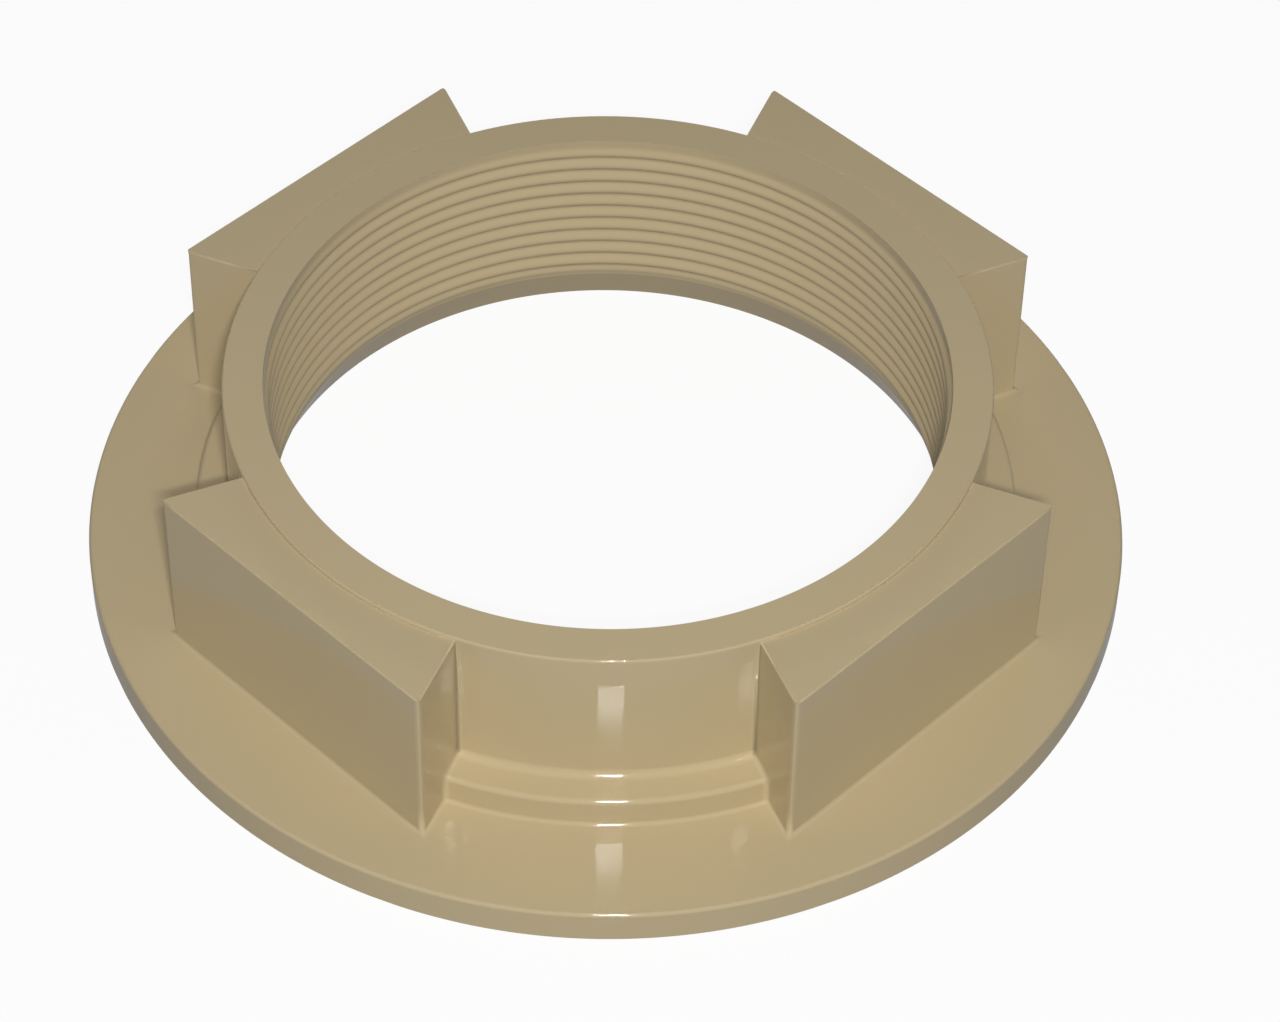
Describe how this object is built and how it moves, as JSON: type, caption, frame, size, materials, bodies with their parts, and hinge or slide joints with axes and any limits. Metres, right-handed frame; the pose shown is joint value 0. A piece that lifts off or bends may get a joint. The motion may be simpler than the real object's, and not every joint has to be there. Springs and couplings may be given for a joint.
{
  "type": "suction nut",
  "caption": "Moulded plastic flange nut for a tub suction fitting: a round flat flange, a stepped collar and a threaded barrel with four wrench lugs around it.",
  "frame": {"origin": "centre of the flange's flat underside, on the axis of the thread", "axes": "+Z along the thread's axis, from the flange's underside towards the top of the barrel; +X and +Y point midway between wrench lugs"},
  "size_m": [0.098, 0.098, 0.0217],
  "materials": {
    "almond_plastic": "semi-gloss moulded plastic in an almond beige"
  },
  "bodies": {
    "root": {"suction_nut": "almond_plastic"}
  },
  "joints": []
}
